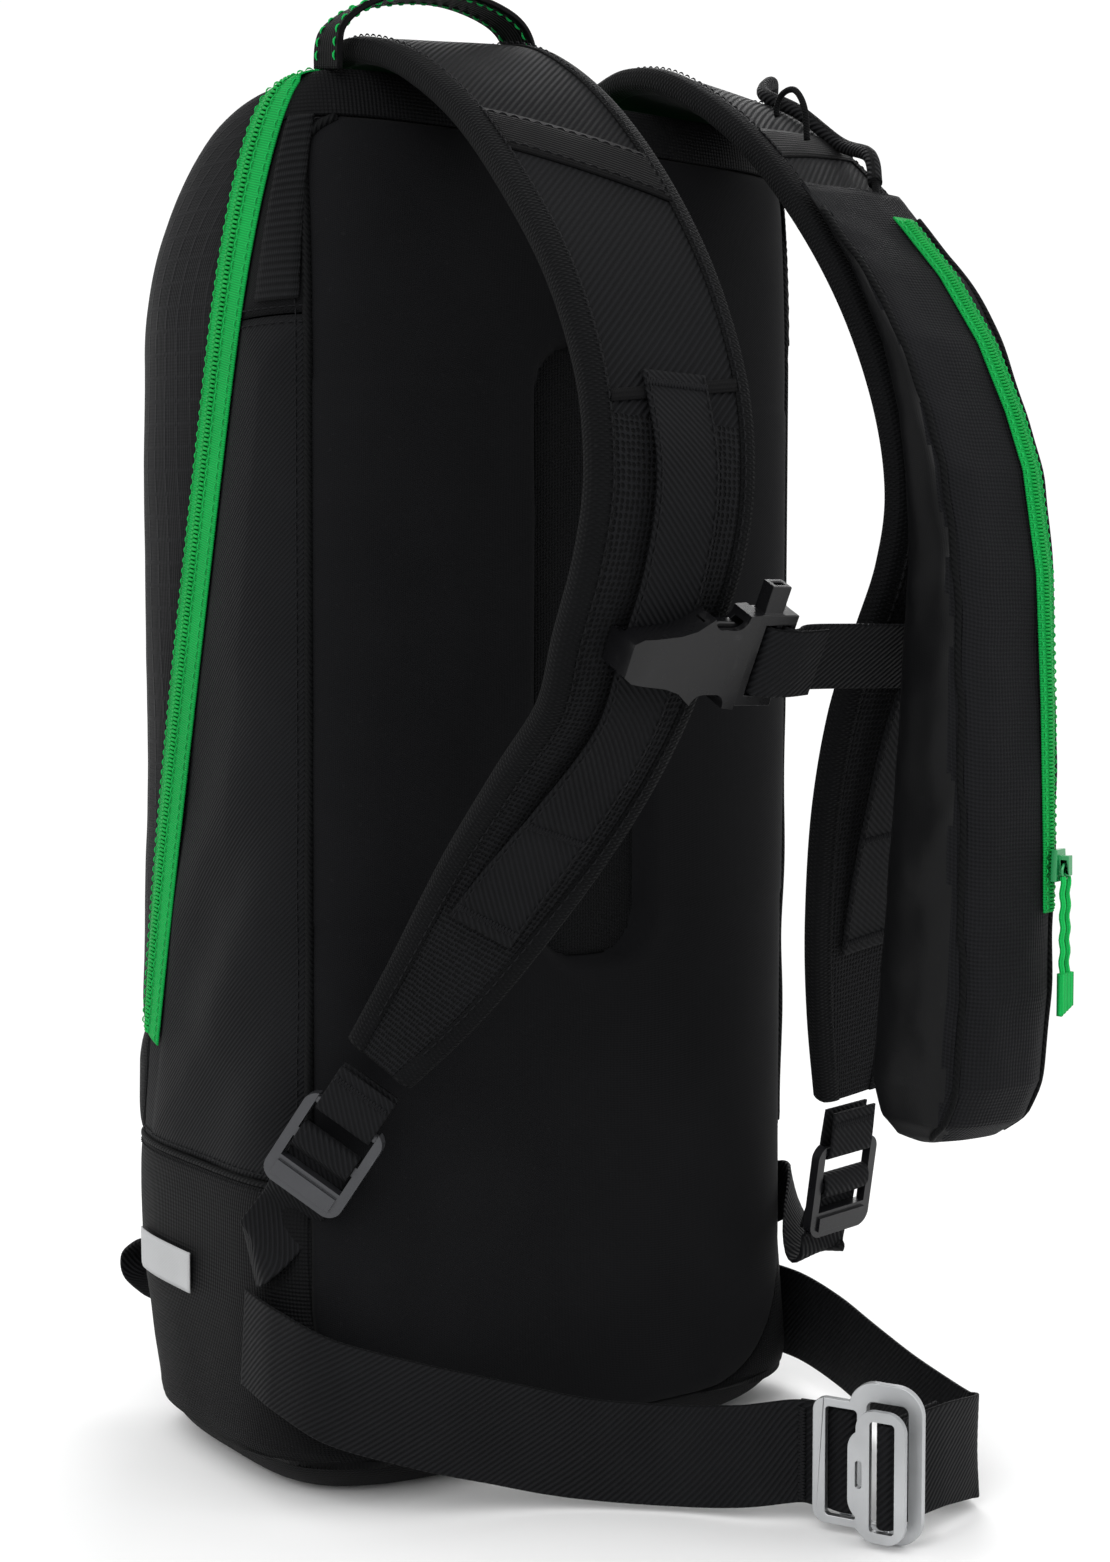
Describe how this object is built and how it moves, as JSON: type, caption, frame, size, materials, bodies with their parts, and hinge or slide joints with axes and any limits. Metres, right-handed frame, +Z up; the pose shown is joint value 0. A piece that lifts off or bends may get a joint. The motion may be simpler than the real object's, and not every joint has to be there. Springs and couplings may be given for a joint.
{
  "type": "avalanche airbag backpack",
  "caption": "Slim ski-touring backpack with a wrap-round zip, padded harness, chest buckle, zipped strap pocket and metal pass-through waist buckle, with an airbag system inside.",
  "frame": {"origin": "middle of the base patch, on the ground", "axes": "+Z up, -Y towards the wearer (the harness side), +X to the right as the harness is faced"},
  "size_m": [0.2644, 0.3794, 0.5611],
  "materials": {
    "foam_laminate": "matt laminated foam fabric",
    "spine_mesh": "fine mesh",
    "sheet_plastic": "moulded HDPE",
    "stay_alloy": "mill finish",
    "zip_green": "woven coil zip tape",
    "slider_green": "enamelled die-cast",
    "pull_cord": "woven webbing with a cord core",
    "reflective": "pale reflective print",
    "lock_grey": "satin gunmetal",
    "lock_black": "satin black",
    "gloss_black": "moulded acetal",
    "plate_alloy": "satin anodised",
    "bar_steel": "bright steel",
    "airbag_nylon": "coated ripstop nylon",
    "head_plastic": "glass-filled nylon",
    "cylinder_paint": "painted steel",
    "handle_red": "moulded handle",
    "sleeve_grey": "coated nylon",
    "cord_black": "braided cord",
    "cable_black": "sheathed cable",
    "base_patch": "coated base fabric",
    "ripstop": "plain woven nylon",
    "oxford": "heavy oxford nylon",
    "stretch": "smooth stretch fabric",
    "ribbed": "ribbed elastic",
    "pocket_oxford": "oxford nylon",
    "strap_mesh": "spacer mesh with a knit binding",
    "web_black": "ribbed polyester webbing"
  },
  "bodies": {
    "pack": {"back_panel": "foam_laminate", "spine_channel": "spine_mesh", "frame_sheet": "sheet_plastic", "frame_stay": "stay_alloy", "side_panel_left": "ripstop", "side_panel_right": "ripstop", "upper_gusset_left": "stretch", "upper_gusset_right": "stretch", "ribbed_tape_left": "ribbed", "ribbed_tape_right": "ribbed", "base_wrap": "ripstop", "base_patch": "base_patch", "front_hinge_panel": "oxford", "top_panel": "foam_laminate", "main_zip_body_tape": "zip_green", "reflective_patch": "reflective", "ski_loops": "web_black", "shoulder_strap_left": "strap_mesh", "shoulder_strap_right": "strap_mesh", "rail_webbing_left": "web_black", "rail_webbing_right": "web_black", "lifter_band_left": "web_black", "buckle_loop_left": "web_black", "buckle_loop_right": "web_black", "adjuster_webbing_left": "web_black", "adjuster_webbing_right": "web_black", "chest_clip": "gloss_black", "chest_anchor": "gloss_black", "strap_pocket": "pocket_oxford", "pocket_zip_tape": "zip_green", "airbag": "airbag_nylon", "airbag_throat": "airbag_nylon", "inflator_head": "head_plastic", "gas_cylinder": "cylinder_paint", "cylinder_strap": "web_black", "trigger_cable": "cable_black", "tool_sleeve": "sleeve_grey"},
    "front_door": {"front_panel": "oxford", "main_zip_door_tape": "zip_green"},
    "main_slider": {"main_zip_slider": "slider_green"},
    "main_pull": {"main_zip_pull": "pull_cord"},
    "haul": {"haul_loop": "web_black"},
    "key_cord": {"key_loop": "cord_black"},
    "lock_left": {"ladder_lock_left": "lock_grey"},
    "lock_right": {"ladder_lock_right": "lock_black"},
    "chest_male": {"chest_buckle_male": "gloss_black", "chest_webbing": "web_black"},
    "prong_upper": {"chest_prong_upper": "gloss_black"},
    "prong_lower": {"chest_prong_lower": "gloss_black"},
    "pocket_slider": {"pocket_zip_slider": "slider_green"},
    "pocket_pull": {"pocket_zip_pull": "pull_cord"},
    "belt": {"belt_left": "web_black", "belt_right": "web_black", "belt_hook_plate": "plate_alloy", "belt_slide_bar_left": "bar_steel"},
    "release": {"belt_release_plate": "plate_alloy", "belt_slide_bar_right": "bar_steel"},
    "handle": {"trigger_handle": "handle_red"},
    "plunger": {"piercing_plunger": "bar_steel"}
  },
  "joints": [
    {"name": "front_panel_open", "type": "hinge", "parent": "pack", "child": "front_door", "pos_m": [0, 0.10404, 0.163], "axis": [-1, 0, 0], "range_deg": [0, 95]},
    {"name": "main_zip_run", "type": "slide", "parent": "pack", "child": "main_slider", "axis": [0.0051, -0.2607, 0.9654], "range_m": [0, 0.14]},
    {"name": "main_pull_swing", "type": "hinge", "parent": "main_slider", "child": "main_pull", "pos_m": [0.1301, 0.04675, 0.1835], "axis": [0, 0.9654, 0.2607], "range_deg": [-30, 5]},
    {"name": "haul_loop_swing", "type": "hinge", "parent": "pack", "child": "haul", "pos_m": [-0.06, -0.066, 0.5336], "axis": [1, 0, 0], "range_deg": [-15, 12]},
    {"name": "key_loop_swing", "type": "hinge", "parent": "pack", "child": "key_cord", "pos_m": [0.058, -0.136, 0.515], "axis": [0, 1, 0], "range_deg": [-20, 20]},
    {"name": "lock_left_tilt", "type": "hinge", "parent": "pack", "child": "lock_left", "pos_m": [-0.11, -0.0885, 0.149], "axis": [0.5985, -0.5723, -0.5606], "range_deg": [-18, 8]},
    {"name": "lock_right_tilt", "type": "hinge", "parent": "pack", "child": "lock_right", "pos_m": [0.102, -0.1215, 0.119], "axis": [0.9945, 0.0867, 0.0589], "range_deg": [-14, 9]},
    {"name": "chest_release", "type": "slide", "parent": "pack", "child": "chest_male", "axis": [1, 0, 0], "range_m": [0, 0.035]},
    {"name": "prong_upper_squeeze", "type": "hinge", "parent": "chest_male", "child": "prong_upper", "pos_m": [-0.0332, -0.22136, 0.3253], "axis": [0, -0.8878, -0.4602], "range_deg": [0, 7], "stiffness_Nm_per_rad": 0.4},
    {"name": "prong_lower_squeeze", "type": "hinge", "parent": "chest_male", "child": "prong_lower", "pos_m": [-0.0332, -0.21252, 0.30825], "axis": [0, 0.8878, 0.4602], "range_deg": [0, 7], "stiffness_Nm_per_rad": 0.4},
    {"name": "pocket_zip_run", "type": "slide", "parent": "pack", "child": "pocket_slider", "axis": [-0.024, 0.012, 0.9996], "range_m": [0, 0.075]},
    {"name": "pocket_pull_swing", "type": "hinge", "parent": "pocket_slider", "child": "pocket_pull", "pos_m": [0.06807, -0.26918, 0.2457], "axis": [0.956, 0.2923, 0.0244], "range_deg": [-35, 0]},
    {"name": "belt_lift", "type": "hinge", "parent": "pack", "child": "belt", "pos_m": [-0.1272, -0.04, 0.06], "axis": [-0.994, 0, 0.1094], "range_deg": [0, 14]},
    {"name": "release_plate_tilt", "type": "hinge", "parent": "belt", "child": "release", "pos_m": [0.03198, -0.22182, 0.027], "axis": [0, 0, 1], "range_deg": [0, 30]},
    {"name": "trigger_pull", "type": "slide", "parent": "pack", "child": "handle", "axis": [0, 0, -1], "range_m": [0, 0.025], "stiffness_N_per_m": 1200},
    {"name": "plunger_stroke", "type": "slide", "parent": "pack", "child": "plunger", "axis": [0, 0, -1], "range_m": [0, 0.005]}
  ],
  "couplings": [
    {"joint": "prong_lower_squeeze", "follows": "prong_upper_squeeze", "ratio": 1},
    {"joint": "plunger_stroke", "follows": "trigger_pull", "ratio": 0.2}
  ]
}
